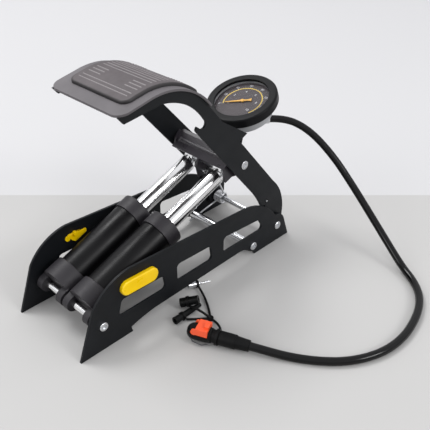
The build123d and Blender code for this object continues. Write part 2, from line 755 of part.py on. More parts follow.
def barb_frame():
    """Centre of the socket's ports and the direction of the hose barb."""
    base = gauge_point(0, 0, PORT_Z)
    length = hypot(*BARB_DIR)
    direction = (BARB_DIR[0] / length, BARB_DIR[1] / length, 0)
    return base, direction


def along_barb(distance):
    """A point on the barb's axis."""
    base, direction = barb_frame()
    return (base[0] + distance * direction[0], base[1] + distance * direction[1], base[2])


def barb_piece(radius, low, high):
    """A round piece on the barb's axis between two distances from the socket's centre."""
    _, direction = barb_frame()
    plane = Plane(origin=along_barb(low), z_dir=direction)
    return plane * Pos(0, 0, (high - low) / 2) * Cylinder(radius, high - low)


HOSE_START = 12.6            # the hose begins here on the barb
FERRULE_END = 23.6


def outlet_barb():
    """Hose barb screwed into the socket."""
    hexagon = Plane(origin=along_barb(5.0), z_dir=barb_frame()[1])
    nut = extrude(hexagon * RegularPolygon(5.2, 6), 7.0)
    stem = barb_piece(HOSE_BORE_R - 0.02, 11.0, 22.0) - barb_piece(1.2, 4.0, 23.0)
    clear_socket = on_gauge(disc(7.0, SOCKET_LOW - 9, CASE_BACK + 4))
    return nut + stem - clear_socket - barb_piece(1.2, 4.0, 23.0)


def hose_ferrule():
    """Crimped ferrule over the hose end."""
    outside = barb_piece(5.6, HOSE_START, FERRULE_END)
    return outside - barb_piece(HOSE_R + 0.02, HOSE_START - 1, FERRULE_END + 1)


# ---------------------------------------------------------------- hose, valve head and adapters

HOSE_STRAIGHT = 39.0         # the hose leaves in line with the barb as far as this

HOSE_POINTS = [
    along_barb(HOSE_START), along_barb(HOSE_STRAIGHT),
    (321.5, -45.0, 119.5), (330.8, -74.0, 94.0), (333.5, -103.0, 65.0),
    (331.0, -132.0, 40.0), (325.0, -160.0, 20.0), (317.5, -183.0, 7.0), (308.0, -203.0, HOSE_R),
    (292.5, -219.0, HOSE_R), (273.0, -229.5, HOSE_R), (251.0, -236.0, HOSE_R), (228.0, -239.5, HOSE_R),
    (204.0, -238.0, HOSE_R), (182.0, -230.5, HOSE_R), (162.0, -217.5, HOSE_R), (145.5, -199.0, HOSE_R),
    (132.5, -178.0, HOSE_R), (120.2, -157.7, 7.6), (112.0, -139.5, 8.2),
]


def corner_radii(points):
    """For each corner, 0.45 of the shorter run divided by the tangent of half the turn."""
    radii = []
    for a, b, c in zip(points, points[1:], points[2:]):
        first, second = Vector(*b) - Vector(*a), Vector(*c) - Vector(*b)
        turn = radians(first.get_angle(second))
        radii.append(0.45 * min(first.length, second.length) / tan(turn / 2))
    return radii


def hose():
    """Rubber hose from the gauge to the valve head."""
    radii = corner_radii(HOSE_POINTS)
    print("hose corner radii", [round(r, 1) for r in radii])
    path = FilletPolyline(*HOSE_POINTS, radius=radii)
    start = Plane(origin=path @ 0, z_dir=path % 0)
    section = start * Circle(HOSE_R) - start * Circle(HOSE_BORE_R)
    tube = sweep(section, path=path)
    expected = pi * (HOSE_R ** 2 - HOSE_BORE_R ** 2) * path.length
    print("hose length", round(path.length, 1), "volume ratio", round(tube.volume / expected, 5))
    return tube


HEAD_START = Vector(112.0, -139.5, 8.2)
HEAD_DIR = Vector(-0.41, 0.912, 0.03).normalized()


def on_head(distance):
    """Plane across the valve head's axis, at a distance from the hose end. Its x is across, its y up."""
    across_head = Vector(-HEAD_DIR.Y, HEAD_DIR.X, 0)
    return Plane(origin=HEAD_START + HEAD_DIR * distance, x_dir=across_head, z_dir=HEAD_DIR)


def on_head_point(x, y, distance):
    """A point given across, up and along the valve head."""
    plane = on_head(distance)
    place = plane.origin + plane.x_dir * x + plane.y_dir * y
    return (place.X, place.Y, place.Z)


def head_round(r_low, r_high, low, high):
    """A coned or plain round piece on the valve head's axis."""
    height = high - low
    solid = Cylinder(r_low, height) if r_low == r_high else Cone(r_low, r_high, height)
    return on_head(low) * Pos(0, 0, height / 2) * solid


def head_box(x, y, along):
    """A box on the valve head between two values across, up and along it."""
    size = (x[1] - x[0], y[1] - y[0], along[1] - along[0])
    middle = ((x[0] + x[1]) / 2, (y[0] + y[1]) / 2, along[0] + size[2] / 2)
    return on_head(0) * Pos(*middle) * Box(*size)


HOSE_GRIP = 9.0              # how far the hose goes into the sleeve
HEAD_SPAN = (27.05, 52.0)
VALVE_HEAD_R = 8.0
VALVE_R = 3.95               # bore for an ordinary tyre valve
INNER_BORE_R = 3.75          # the gasket sits in this narrower part of the bore
AIRWAY_R = 3.0
HINGE_AT = 43.0              # along the head
HINGE_Y = 5.0                # above the head's axis
DECK_Y = 6.2                 # flat top under the thumb lever
FLAT_X = 5.2
FLAT_Y = 1.6
FLAT_SPAN = (HINGE_AT - 13.5, HINGE_AT + 7.0)
LEVER_HALF = 7.6
LOOP_SPAN = (20.4, 23.2)
NECK_R = 6.3


def valve_sleeve():
    """Stepped rubber sleeve between the hose and the valve head."""
    body = head_round(5.4, 6.2, -HOSE_GRIP, 4) + head_round(6.9, 6.9, 4, 19)
    body += head_round(NECK_R, NECK_R, 19, HEAD_SPAN[0] - 0.05)
    body -= head_round(HOSE_R + 0.02, HOSE_R + 0.02, -HOSE_GRIP - 1, 0.02)
    return body - head_round(HOSE_BORE_R, HOSE_BORE_R, -1, 30)


def valve_head():
    """Clip-on valve head: a round-nosed body with flats for the thumb lever and a bore in the nose."""
    low, high = HEAD_SPAN
    nose = high - VALVE_HEAD_R
    body = head_round(7.0, VALVE_HEAD_R, low, low + 6)
    body += head_round(VALVE_HEAD_R, VALVE_HEAD_R, low + 6, nose)
    body += on_head(nose) * Sphere(VALVE_HEAD_R)
    body -= head_round(VALVE_R, VALVE_R, nose, high + 4)
    body -= head_round(INNER_BORE_R, INNER_BORE_R, high - 14, high)
    body -= head_round(AIRWAY_R, AIRWAY_R, low - 1, high)
    for side in (-1, 1):
        body -= head_box(sorted((side * FLAT_X, side * 9)), (FLAT_Y, 9), FLAT_SPAN)
    body -= head_box((-9, 9), (DECK_Y, 9), FLAT_SPAN)
    return body - valve_pin(0.02) - wire_clip()


def valve_gasket():
    """Rubber washer that grips the tyre valve."""
    low = HEAD_SPAN[1] - 13.9
    outer = INNER_BORE_R - FIT
    return head_round(outer, outer, low, low + 5.8) - head_round(1.6, 1.6, low - 1, low + 7)


def valve_pin(gap=0.0):
    """Steel pin of the thumb lever, across the head."""
    length = 2 * LEVER_HALF - 0.4
    return on_head(HINGE_AT) * Pos(0, HINGE_Y, 0) * Rot(0, 90, 0) * Cylinder(1.0 + gap, length)


def valve_lever():
    """Thumb lever: a plate over the head with a cheek on each side, hinged on the pin."""
    rear, front = HINGE_AT - 13.2, HINGE_AT - 1.5
    top = DECK_Y + 3.2
    lever = head_box((-LEVER_HALF, LEVER_HALF), (DECK_Y + 0.3, top), (rear, front))
    lever += head_box((-3.6, 3.6), (top - 0.5, top + 2.2), (rear, rear + 4.5))
    for side in (-1, 1):
        span = sorted((side * (FLAT_X + 0.15), side * LEVER_HALF))
        lever += head_box(span, (HINGE_Y - 2.6, top), (rear, front))
        ear = Pos(sum(span) / 2, HINGE_Y, 0) * Rot(0, 90, 0) * Cylinder(3.0, span[1] - span[0])
        lever += on_head(HINGE_AT) * ear
    return lever - valve_pin(0.05)


def wire_clip():
    """Wire spring round the underside of the head."""
    route = [(6.9, -3.0, 46.0), (8.6, -5.2, 43.0), (8.8, -6.6, 34.0), (6.0, -5.6, 28.6), (4.6, -4.4, 28.6)]
    points = [on_head_point(*place) for place in route]
    return tube_along(points, 0.5, [2.0, 2.5, 1.0])


# Adapters on their strap
JUNCTION = (122.5, -91.0, 1.5)
STRAP_R = 1.2
LOOP_LENGTH = 2.4
LOOP_WALL = 0.85


def between(start, end, parts):
    """Round pieces along the line from start to end; each is (from, to, radius at from, radius at to)."""
    origin, far = Vector(*start), Vector(*end)
    direction = (far - origin).normalized()
    body = None
    for low, high, r_low, r_high in parts:
        height = high - low
        solid = Cylinder(r_low, height) if r_low == r_high else Cone(r_low, r_high, height)
        piece = Plane(origin=origin + direction * low, z_dir=direction) * Pos(0, 0, height / 2) * solid
        body = piece if body is None else body + piece
    return body


# Each adapter: the line it lies along, from its wide end, and how far along it the strap's loop is
LONG_LINE = ((93.5, -72.2, 4.9), (128.0, -71.0, 3.6))
LONG_SHAPE = [(0, 34.5, 3.9, 2.3)]
LONG_LOOP = 9.0
CONE_LINE = ((114.5, -58.0, 6.0), (126.0, -71.5, 12.0))
CONE_SHAPE = [(0, 18.5, 4.8, 4.1)]
CONE_LOOP = 6.4
NEEDLE_LINE = ((139.0, -42.7, 5.0), (161.0, -52.2, 3.4))
NEEDLE_SHAPE = [(0, 3.5, 3.6, 3.6), (3.5, 11.5, 3.2, 3.2), (11.5, 14.0, 2.2, 1.2), (14.0, 24.0, 0.8, 0.8)]
NEEDLE_LOOP = 8.4


def long_adapter():
    """Long tapered nozzle."""
    return between(*LONG_LINE, LONG_SHAPE) - between(*LONG_LINE, [(-1, 10, 2.5, 2.5), (9, 36, 1.2, 1.2)])


def cone_adapter():
    """Short coned nozzle."""
    return between(*CONE_LINE, CONE_SHAPE) - between(*CONE_LINE, [(-1, 9, 3.2, 3.2), (8, 20, 1.6, 1.6)])


def needle_adapter():
    """Ball needle: a grip with a blind mouth and a thin hollow needle."""
    bores = [(-1, 6, 2.1, 2.1), (5, 23.0, 0.35, 0.35)]
    return between(*NEEDLE_LINE, NEEDLE_SHAPE) - between(*NEEDLE_LINE, bores)


def radius_at(shape, at):
    """Outside radius of an adapter at a distance from its wide end."""
    low, high, r_low, r_high = next(part for part in shape if part[0] <= at < part[1])
    return r_low + (r_high - r_low) * (at - low) / (high - low)


def strap_loop(line, shape, at):
    """Rubber loop round an adapter, and the room that the adapter needs in it."""
    outer = radius_at(shape, at) + LOOP_WALL
    low, high = at - 1.4, at + LOOP_LENGTH + 0.6
    seat = [(low, high, radius_at(shape, low) + 0.02, radius_at(shape, high) + 0.02)]
    return between(*line, [(at, at + LOOP_LENGTH, outer, outer)]), between(*line, seat)


def strap_arm(via, end):
    """One arm of the strap, an arc from the junction."""
    arc = ThreePointArc(JUNCTION, via, end)
    return sweep(Plane(origin=arc @ 0, z_dir=arc % 0) * Circle(STRAP_R), path=arc)


def adapter_strap():
    """Moulded strap with a loop on the sleeve and three on the adapters."""
    strap = Pos(*JUNCTION) * Cylinder(3.2, 2 * STRAP_R)
    strap += strap_arm((119.0, -106.0, 3.4), on_head_point(-7.2, -2.0, sum(LOOP_SPAN) / 2))
    strap += strap_arm((135.0, -74.0, 2.0), (146.4, -49.8, 4.1))
    strap += strap_arm((117.0, -76.5, 8.4), (115.3, -66.0, 6.6))
    strap += strap_arm((112.0, -83.0, 2.2), (104.0, -76.6, 3.0))
    adapters = (
        (LONG_LINE, LONG_SHAPE, LONG_LOOP), (CONE_LINE, CONE_SHAPE, CONE_LOOP),
        (NEEDLE_LINE, NEEDLE_SHAPE, NEEDLE_LOOP),
    )
    loops = [strap_loop(*adapter) for adapter in adapters]
    for loop, _ in loops:
        strap += loop
    strap += head_round(NECK_R + 1.6, NECK_R + 1.6, *LOOP_SPAN)
    for _, seat in loops:
        strap -= seat
    return strap - head_round(NECK_R + 0.02, NECK_R + 0.02, LOOP_SPAN[0] - 2, LOOP_SPAN[1] + 2)


def main():
    for side, sign in (("right", -1), ("left", 1)):
        emit(f"{side}_side_plate", side_plate(sign))
        emit(f"{side}_lever_arm", lever_arm(side, sign))
        emit(f"{side}_return_spring", return_spring(sign))
        emit(f"{side}_catch", catch(sign))
        y = PUMP_Y[side]
        emit(f"{side}_bottom_cap", on_pump(bottom_cap(), y))
        emit(f"{side}_barrel", on_pump(barrel_tube(), y))
        emit(f"{side}_top_collar", on_pump(top_collar(), y))
        emit(f"{side}_guide_bush", on_pump(guide_bush(), y))
        emit(f"{side}_piston_rod", on_pump(piston_rod(), y))
        emit(f"{side}_piston", on_pump(piston(), y))
        emit(f"{side}_piston_cup", on_pump(piston_cup(), y))
        emit(f"{side}_check_valve", on_pump(check_valve(), y))
    emit("front_pivot_rod", tapped_bar(FRONT, ROD_R))
    emit("rear_axle", tapped_bar(AXLE, AXLE_R))
    emit("rear_tie_rod", tapped_bar(TIE, AXLE_R))
    emit("tie_rod_sleeves", *tie_rod_sleeves())
    emit("base_screws", *base_screws())
    emit("pedal_plate", pedal_plate())
    emit("pedal_pad", pedal_pad())
    emit("yoke_pivot_screws", *yoke_pivot_screws())
    emit("axle_bushes", *axle_bushes())
    emit("yoke", yoke())
    emit("rod_end_pin", rod_end_pin())
    emit("air_union", *air_union())
    emit("gauge_boot", on_gauge(gauge_boot()))
    emit("gauge_case", on_gauge(gauge_case()))
    emit("gauge_dial", on_gauge(gauge_dial()))
    emit("gauge_lens", on_gauge(gauge_lens()))
    emit("gauge_needle", on_gauge(gauge_needle()))
    emit("gauge_movement", on_gauge(gauge_movement()))
    emit("bourdon_tube", on_gauge(bourdon_tube()))
    emit("gauge_socket", on_gauge(gauge_socket()))
    emit("gauge_bracket", gauge_bracket())
    emit("riser_pipe", riser_pipe())
    emit("swivel_union", swivel_union())
    emit("outlet_barb", outlet_barb())
    emit("hose_ferrule", hose_ferrule())
    emit("hose", hose())
    emit("valve_sleeve", valve_sleeve())
    emit("valve_head", valve_head())
    emit("valve_gasket", valve_gasket())
    emit("valve_lever", valve_lever())
    emit("valve_pin", valve_pin())
    emit("wire_clip", wire_clip())
    emit("adapter_strap", adapter_strap())
    emit("long_adapter", long_adapter())
    emit("cone_adapter", cone_adapter())
    emit("needle_adapter", needle_adapter())
    low = [min(getattr(b.min, k) for b in BOXES) for k in "XYZ"]
    high = [max(getattr(b.max, k) for b in BOXES) for k in "XYZ"]
    print("box without the hose", [round(v, 2) for v in low], [round(v, 2) for v in high])


main()
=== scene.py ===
import bpy
from math import cos, hypot, pi, radians, sin, sqrt
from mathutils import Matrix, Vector


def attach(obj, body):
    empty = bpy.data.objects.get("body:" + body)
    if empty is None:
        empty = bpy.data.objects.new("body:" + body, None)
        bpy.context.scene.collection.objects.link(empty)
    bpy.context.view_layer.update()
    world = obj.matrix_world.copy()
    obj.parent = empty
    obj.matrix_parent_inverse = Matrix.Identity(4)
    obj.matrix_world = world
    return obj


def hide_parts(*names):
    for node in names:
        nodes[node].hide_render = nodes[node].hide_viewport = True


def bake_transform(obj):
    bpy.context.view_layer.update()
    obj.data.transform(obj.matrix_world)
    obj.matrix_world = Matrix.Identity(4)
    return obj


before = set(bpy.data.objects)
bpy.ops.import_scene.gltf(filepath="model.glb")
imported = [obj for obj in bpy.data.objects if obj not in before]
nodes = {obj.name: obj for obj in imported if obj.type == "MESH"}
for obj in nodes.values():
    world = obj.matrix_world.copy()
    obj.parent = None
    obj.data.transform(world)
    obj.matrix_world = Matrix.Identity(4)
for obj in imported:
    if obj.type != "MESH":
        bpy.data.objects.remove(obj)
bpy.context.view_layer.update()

# Millimetres as in the drawing, with x from the toe tip, until at() turns them into the row's metres.
MM = 0.001
HALF_LENGTH = 150.0          # the drawing's x of the origin


def at(x, y, z):
    """A point of the drawing as metres in the row frame."""
    return Vector(((x - HALF_LENGTH) * MM, y * MM, z * MM))


# ------------------------------------------------------------------ camera

CAMERA_PLACE = (-0.36975, -0.4322, 0.4347)
CAMERA_AZIMUTH = radians(-45.62)
CAMERA_ELEVATION = radians(33.02)
LENS = 55.5
VIEW_X, VIEW_Y = -sin(CAMERA_AZIMUTH), cos(CAMERA_AZIMUTH)


def make_camera():
    data = bpy.data.cameras.new("camera")
    data.lens = LENS
    data.sensor_width = 36.0
    data.clip_start = 0.01
    data.clip_end = 20.0
    camera = bpy.data.objects.new("camera", data)
    bpy.context.collection.objects.link(camera)
    camera.location = CAMERA_PLACE
    level = cos(CAMERA_ELEVATION)
    forward = Vector((VIEW_X * level, VIEW_Y * level, -sin(CAMERA_ELEVATION)))
    camera.rotation_mode = "QUATERNION"
    camera.rotation_quaternion = forward.to_track_quat("-Z", "Y")
    bpy.context.scene.camera = camera


make_camera()


# ------------------------------------------------------------------ material helpers

class Shader:
    """A node material: a Principled shader with helpers for the textures that feed it."""

    def __init__(self, name, colour, roughness, metallic=0.0, **sockets):
        self.material = bpy.data.materials.new(name)
        self.material.use_nodes = True
        self.tree = self.material.node_tree
        self.shader = self.tree.nodes["Principled BSDF"]
        self.set("Base Color", (*colour, 1.0))
        self.set("Roughness", roughness)
        self.set("Metallic", metallic)
        for key, value in sockets.items():
            self.set(key.replace("_", " "), value)
        self.coords = self.node("ShaderNodeTexCoord")
        self.normal = None

    def node(self, kind, **values):
        made = self.tree.nodes.new(kind)
        for key, value in values.items():
            setattr(made, key, value)
        return made

    def set(self, socket, value):
        self.shader.inputs[socket].default_value = value

    def link(self, source, target):
        self.tree.links.new(source, target)

    def noise(self, scale, detail=3.0):
        """Noise over the part's own coordinates; scale is in features per metre."""
        texture = self.node("ShaderNodeTexNoise")
        texture.inputs["Scale"].default_value = scale
        texture.inputs["Detail"].default_value = detail
        self.link(self.coords.outputs["Object"], texture.inputs["Vector"])
        return texture.outputs["Fac"]

    def ramp(self, source, low, high, a, b):
        """Source mapped from the span a..b to low..high."""
        made = self.node("ShaderNodeMapRange")
        made.inputs["From Min"].default_value = a
        made.inputs["From Max"].default_value = b
        made.inputs["To Min"].default_value = low
        made.inputs["To Max"].default_value = high
        self.link(source, made.inputs["Value"])
        return made.outputs["Result"]

    def mix(self, factor, low, high):
        """Colour between two colours, or between a colour socket and a colour."""
        made = self.node("ShaderNodeMix", data_type="RGBA")
        self.link(factor, made.inputs["Factor"])
        for socket, value in ((made.inputs[6], low), (made.inputs[7], high)):
            if isinstance(value, tuple):
                socket.default_value = (*value, 1.0)
            else:
                self.link(value, socket)
        return made.outputs[2]

    def clouds(self, colour, scale, low, high):
        """Slow variation of the colour between low and high times itself."""
        factor = self.ramp(self.noise(scale, 4.0), 0.0, 1.0, 0.32, 0.68)
        self.paint(self.mix(factor, tint(colour, low), tint(colour, high)))

    def paint(self, colour_socket):
        self.link(colour_socket, self.shader.inputs["Base Color"])

    def rough(self, source, low, high):
        self.link(self.ramp(source, low, high, 0.3, 0.7), self.shader.inputs["Roughness"])

    def bump(self, source, distance, strength):
        """Adds a relief of that depth in metres."""
        made = self.node("ShaderNodeBump")
        made.inputs["Distance"].default_value = distance
        made.inputs["Strength"].default_value = strength
        self.link(source, made.inputs["Height"])
        if self.normal is not None:
            self.link(self.normal, made.inputs["Normal"])
        self.normal = made.outputs["Normal"]
        self.link(self.normal, self.shader.inputs["Normal"])

    def soft_edges(self, radius):
        """Rounds the look of sharp edges."""
        made = self.node("ShaderNodeBevel", samples=6)
        made.inputs["Radius"].default_value = radius
        self.normal = made.outputs["Normal"]
        self.link(self.normal, self.shader.inputs["Normal"])


def tint(colour, factor):
    """The colour times the factor, no part of it above 1."""
    return tuple(min(1.0, c * factor) for c in colour)


# ------------------------------------------------------------------ materials

def powder_coat(name, colour, roughness, specular, grain=1800.0, depth=0.00003):
    """Painted sheet: slow clouds in the colour and a fine orange peel."""
    made = Shader(name, colour, roughness, Specular_IOR_Level=specular)
    made.soft_edges(0.0006)
    made.clouds(colour, 28.0, 0.84, 1.18)
    made.rough(made.noise(60.0), roughness - 0.05, roughness + 0.06)
    made.bump(made.noise(grain, 2.0), depth, 0.4)
    return made.material


def moulded(name, colour, roughness, grain=1500.0, depth=0.00002, **sockets):
    """Plastic moulding: nearly even colour with a fine spark-eroded texture."""
    made = Shader(name, colour, roughness, **sockets)
    made.soft_edges(0.0005)
    made.clouds(colour, 45.0, 0.93, 1.06)
    made.rough(made.noise(140.0), roughness - 0.04, roughness + 0.05)
    made.bump(made.noise(grain, 2.0), depth, 0.35)
    return made.material


def rubber(name, colour, roughness, grain, depth, specular):
    """Rubber: cloudy, with patches that shine a little more."""
    made = Shader(name, colour, roughness, Specular_IOR_Level=specular)
    made.soft_edges(0.0007)
    made.clouds(colour, 35.0, 0.82, 1.2)
    made.rough(made.noise(90.0, 4.0), roughness - 0.08, roughness + 0.08)
    made.bump(made.noise(grain, 3.0), depth, 0.4)
    return made.material


def pad_rubber(name, colour, rib_highlight_colour, rim_shade_colour):
    """Rubber of the pedal pad, with painted highlight making its ribs and dots paler and painted shade
    making the rim round its edge darker; two attributes mark these.
    """
    made = Shader(name, colour, 0.5, Specular_IOR_Level=0.45)
    rib = made.node("ShaderNodeAttribute", attribute_name="rib")
    edge = made.node("ShaderNodeAttribute", attribute_name="edge")
    factor = made.ramp(made.noise(40.0, 4.0), 0.0, 1.0, 0.3, 0.7)
    ground = made.mix(factor, tint(colour, 0.9), tint(colour, 1.14))
    # Painted highlight: the ribs and dots are painted paler than the rubber round them.
    with_rib_highlights = made.mix(rib.outputs["Fac"], ground, rib_highlight_colour)
    # Painted shade: the rim round the pad's edge is painted darker, and its sides fully dark.
    made.paint(made.mix(edge.outputs["Fac"], with_rib_highlights, rim_shade_colour))
    made.rough(made.noise(110.0, 4.0), 0.42, 0.58)
    made.bump(made.noise(1100.0, 3.0), 0.00003, 0.4)
    return made.material


def metal(name, colour, roughness):
    """Plated or bare metal: slow clouds in the colour and a slightly uneven gloss."""
    made = Shader(name, colour, roughness, metallic=1.0)
    made.clouds(colour, 60.0, 0.94, 1.04)
    made.rough(made.noise(180.0, 2.0), 0.9 * roughness, 1.1 * roughness)
    return made.material


def clear_lens():
    """Thin clear window, nearly all see-through."""
    made = Shader("lens", (0.02, 0.02, 0.022), 0.04, Alpha=0.07, Specular_IOR_Level=0.25)
    made.rough(made.noise(30.0, 2.0), 0.03, 0.08)
    return made.material


MATERIALS = {
    "black_coat": powder_coat("black_coat", (0.0062, 0.0072, 0.0088), 0.45, 0.2),
    # The pedal plate is black powder coat like the side plates; its paler grey base colour is painted sheen
    # standing in for the reflection of the bright surround.
    "pedal_coat_painted_sheen": powder_coat("pedal_coat_painted_sheen", (0.1, 0.091, 0.098), 0.48, 0.5),
    "yoke_coat": powder_coat("yoke_coat", (0.022, 0.019, 0.024), 0.3, 0.5),
    "barrel_coat": powder_coat("barrel_coat", (0.0025, 0.0023, 0.0028), 0.36, 0.2, 1200.0, 0.000015),
    "cap_plastic": moulded("cap_plastic", (0.022, 0.02, 0.0235), 0.5, Specular_IOR_Level=0.35),
    "black_plastic": moulded("black_plastic", (0.0045, 0.0048, 0.0048), 0.28, Specular_IOR_Level=0.14),
    "boot_rubber": rubber("boot_rubber", (0.004, 0.0043, 0.005), 0.4, 900.0, 0.00004, 0.14),
    "hose_rubber": rubber("hose_rubber", (0.001, 0.001, 0.0012), 0.14, 400.0, 0.00001, 0.28),
    "sleeve_rubber": rubber("sleeve_rubber", (0.003, 0.003, 0.0032), 0.42, 900.0, 0.00004, 0.16),
    # Pad colours: the rubber itself, painted highlight on the ribs and dots, painted shade on the rim.
    "pad_rubber": pad_rubber("pad_rubber", (0.07, 0.058, 0.062), (0.26, 0.24, 0.246), (0.012, 0.011, 0.012)),
    "grey_plastic": moulded("grey_plastic", (0.34, 0.345, 0.36), 0.4),
    "yellow_plastic": moulded("yellow_plastic", (1.0, 0.63, 0.0), 0.3, 900.0, 0.00003),
    "orange_plastic": moulded("orange_plastic", (1.0, 0.11, 0.03), 0.3),
    "chrome": metal("chrome", (0.88, 0.88, 0.88), 0.16),
    "zinc": metal("zinc", (0.72, 0.73, 0.75), 0.24),
    "spring_wire": metal("spring_wire", (0.74, 0.75, 0.77), 0.3),
    "dark_wire": metal("dark_wire", (0.12, 0.12, 0.13), 0.3),
    "brass": metal("brass", (0.7, 0.5, 0.2), 0.25),
    "dial": moulded("dial", (0.072, 0.06, 0.066), 0.5),
    "print_white": moulded("print_white", (0.6, 0.6, 0.62), 0.5),
    "print_yellow": moulded("print_yellow", (0.95, 0.68, 0.1), 0.5),
    "needle": moulded("needle", (0.95, 0.52, 0.1), 0.4),
    "lens": clear_lens(),
}

FINISHES = {
    "black_coat": [
        "right_side_plate", "left_side_plate", "right_lever_arm", "left_lever_arm", "gauge_bracket",
    ],
    "pedal_coat_painted_sheen": ["pedal_plate"],
    "yoke_coat": ["yoke"],
    "barrel_coat": ["right_barrel", "left_barrel"],
    "cap_plastic": ["right_bottom_cap", "left_bottom_cap", "right_top_collar", "left_top_collar"],
    "black_plastic": [
        "right_guide_bush", "left_guide_bush", "right_piston", "left_piston", "axle_bushes", "valve_head",
        "cone_adapter", "long_adapter", "right_piston_cup", "left_piston_cup", "right_check_valve",
        "left_check_valve", "valve_gasket",
    ],
    "boot_rubber": ["gauge_boot"],
    "hose_rubber": ["hose"],
    "sleeve_rubber": ["valve_sleeve", "adapter_strap"],
    "pad_rubber": ["pedal_pad"],
    "grey_plastic": ["gauge_case"],
    "yellow_plastic": ["right_catch", "left_catch"],
    "orange_plastic": ["valve_lever"],
    "chrome": ["front_pivot_rod", "right_piston_rod", "left_piston_rod"],
    "zinc": [
        "rear_axle", "rear_tie_rod", "tie_rod_sleeves", "base_screws", "yoke_pivot_screws", "rod_end_pin",
        "air_union", "swivel_union", "hose_ferrule", "valve_pin", "needle_adapter",
    ],
    "spring_wire": ["right_return_spring", "left_return_spring"],
    "dark_wire": ["wire_clip"],
    "brass": ["gauge_movement", "bourdon_tube", "gauge_socket", "riser_pipe", "outlet_barb"],
    "dial": ["gauge_dial"],
    "needle": ["gauge_needle"],
    "lens": ["gauge_lens"],
}


def finish_node(name, material):
    data = nodes[name].data
    data.materials.clear()
    data.materials.append(MATERIALS[material])


for material_name, node_names in FINISHES.items():
    for node_name in node_names:
        finish_node(node_name, material_name)


# ------------------------------------------------------------------ piece helpers

TUBE_ROUNDNESS = 5           # Blender's bevel resolution of every tube


def new_piece(name, mesh, material):
    made = bpy.data.objects.new(name, mesh)
    bpy.context.collection.objects.link(made)
    mesh.materials.append(MATERIALS[material])
    for polygon in mesh.polygons:
        polygon.use_smooth = True
    return made


def mesh_of(name, points, faces):
    mesh = bpy.data.meshes.new(name)
    mesh.from_pydata([tuple(p) for p in points], [], faces)
    return mesh


def spline_curve(name, points, order=3):
    """A curve of one open spline with these control points."""
    curve = bpy.data.curves.new(name, "CURVE")
    curve.dimensions = "3D"
    curve.resolution_u = 8
    spline = curve.splines.new("NURBS")
    spline.points.add(len(points) - 1)
    for point, place in zip(spline.points, points):
        point.co = (*place, 1.0)
    spline.order_u = order
    spline.use_endpoint_u = True
    return curve


def curve_mesh(curve):
    holder = bpy.data.objects.new(curve.name, curve)
    mesh = bpy.data.meshes.new_from_object(holder)
    bpy.data.objects.remove(holder)
    return mesh


def tube_mesh(curve, radius):
    curve.bevel_depth = radius
    curve.bevel_resolution = TUBE_ROUNDNESS
    curve.use_fill_caps = True
    return curve_mesh(curve)


# ------------------------------------------------------------------ hose

HOSE_R = 4.0 * MM
HOSE_POINTS = [
    at(283.13, -6.33, 130.63), at(305.95, -19.60, 130.63), at(321.5, -45.0, 119.5), at(330.8, -74.0, 94.0),
    at(333.5, -103.0, 65.0), at(331.0, -132.0, 40.0), at(325.0, -160.0, 20.0), at(317.5, -183.0, 7.0),
    at(308.0, -203.0, 4.0), at(292.5, -219.0, 4.0), at(273.0, -229.5, 4.0), at(251.0, -236.0, 4.0),
    at(228.0, -239.5, 4.0), at(204.0, -238.0, 4.0), at(182.0, -230.5, 4.0), at(162.0, -217.5, 4.0),
    at(145.5, -199.0, 4.0), at(132.5, -178.0, 4.0), at(120.2, -157.7, 7.6), at(112.0, -139.5, 8.2),
]


def make_hose():
    curve = spline_curve("hose_line", HOSE_POINTS)
    path = [v.co.copy() for v in curve_mesh(curve).vertices]
    hose = new_piece("hose_tube", tube_mesh(curve, HOSE_R), "hose_rubber")
    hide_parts("hose")
    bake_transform(hose)


make_hose()


# ------------------------------------------------------------------ return springs

AXLE = (269.3, 20.9)         # (x, z)
COIL_R = 6.2
WIRE_R = 1.1
COIL_SPAN = (42.0, 31.2)     # |y| of the coil's end on the base's side and of its end on the lever's side
COIL_TURNS = 4.5
STEPS_PER_TURN = 24
LOW_LEG_END = (222.5, 5.6)   # (x, z) of the end of the leg on the base
KNEE = (254.5, 57.2)         # (x, z) where the leg on the lever turns outwards
KNEE_BEND = 4.0
HOOK_Y = 46.6                # |y| of that leg's end


def coil_points(sign):
    """The coil's centre line, from below the axle on the base's side to above it on the lever's."""
    steps = int(COIL_TURNS * STEPS_PER_TURN)
    low, high = COIL_SPAN
    points = []
    for i in range(steps + 1):
        turn = 2 * pi * COIL_TURNS * i / steps
        y = low + (high - low) * i / steps
        points.append(at(AXLE[0] - COIL_R * sin(turn), sign * y, AXLE[1] - COIL_R * cos(turn)))
    return points


def spring_piece(name, points, node, order=3):
    piece = new_piece(name, tube_mesh(spline_curve(name, points, order), WIRE_R * MM), "spring_wire")
    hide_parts(node)
    return piece


def make_spring(side, sign):
    """Coil that winds up between base and lever, one leg on each of them."""
    node = f"{side}_return_spring"
    low, high = COIL_SPAN
    coil = spring_piece(f"{side}_spring_coil", coil_points(sign), node)
    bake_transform(coil)
    under = at(AXLE[0], sign * low, AXLE[1] - COIL_R)
    toe = at(LOW_LEG_END[0], sign * low, LOW_LEG_END[1])
    lower = spring_piece(f"{side}_spring_low_leg", [under, toe], node, 2)
    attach(lower, "base")
    over = at(AXLE[0], sign * high, AXLE[1] + COIL_R)
    high_leg = [
        over,
        at(KNEE[0] + KNEE_BEND / 2, sign * high, KNEE[1] - KNEE_BEND),
        at(KNEE[0], sign * high, KNEE[1]),
        at(KNEE[0], sign * (high + KNEE_BEND), KNEE[1]),
        at(KNEE[0], sign * HOOK_Y, KNEE[1]),
    ]
    upper = spring_piece(f"{side}_spring_high_leg", high_leg, node)
    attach(upper, "lever")


make_spring("right", -1)
make_spring("left", 1)


# ------------------------------------------------------------------ pedal pad

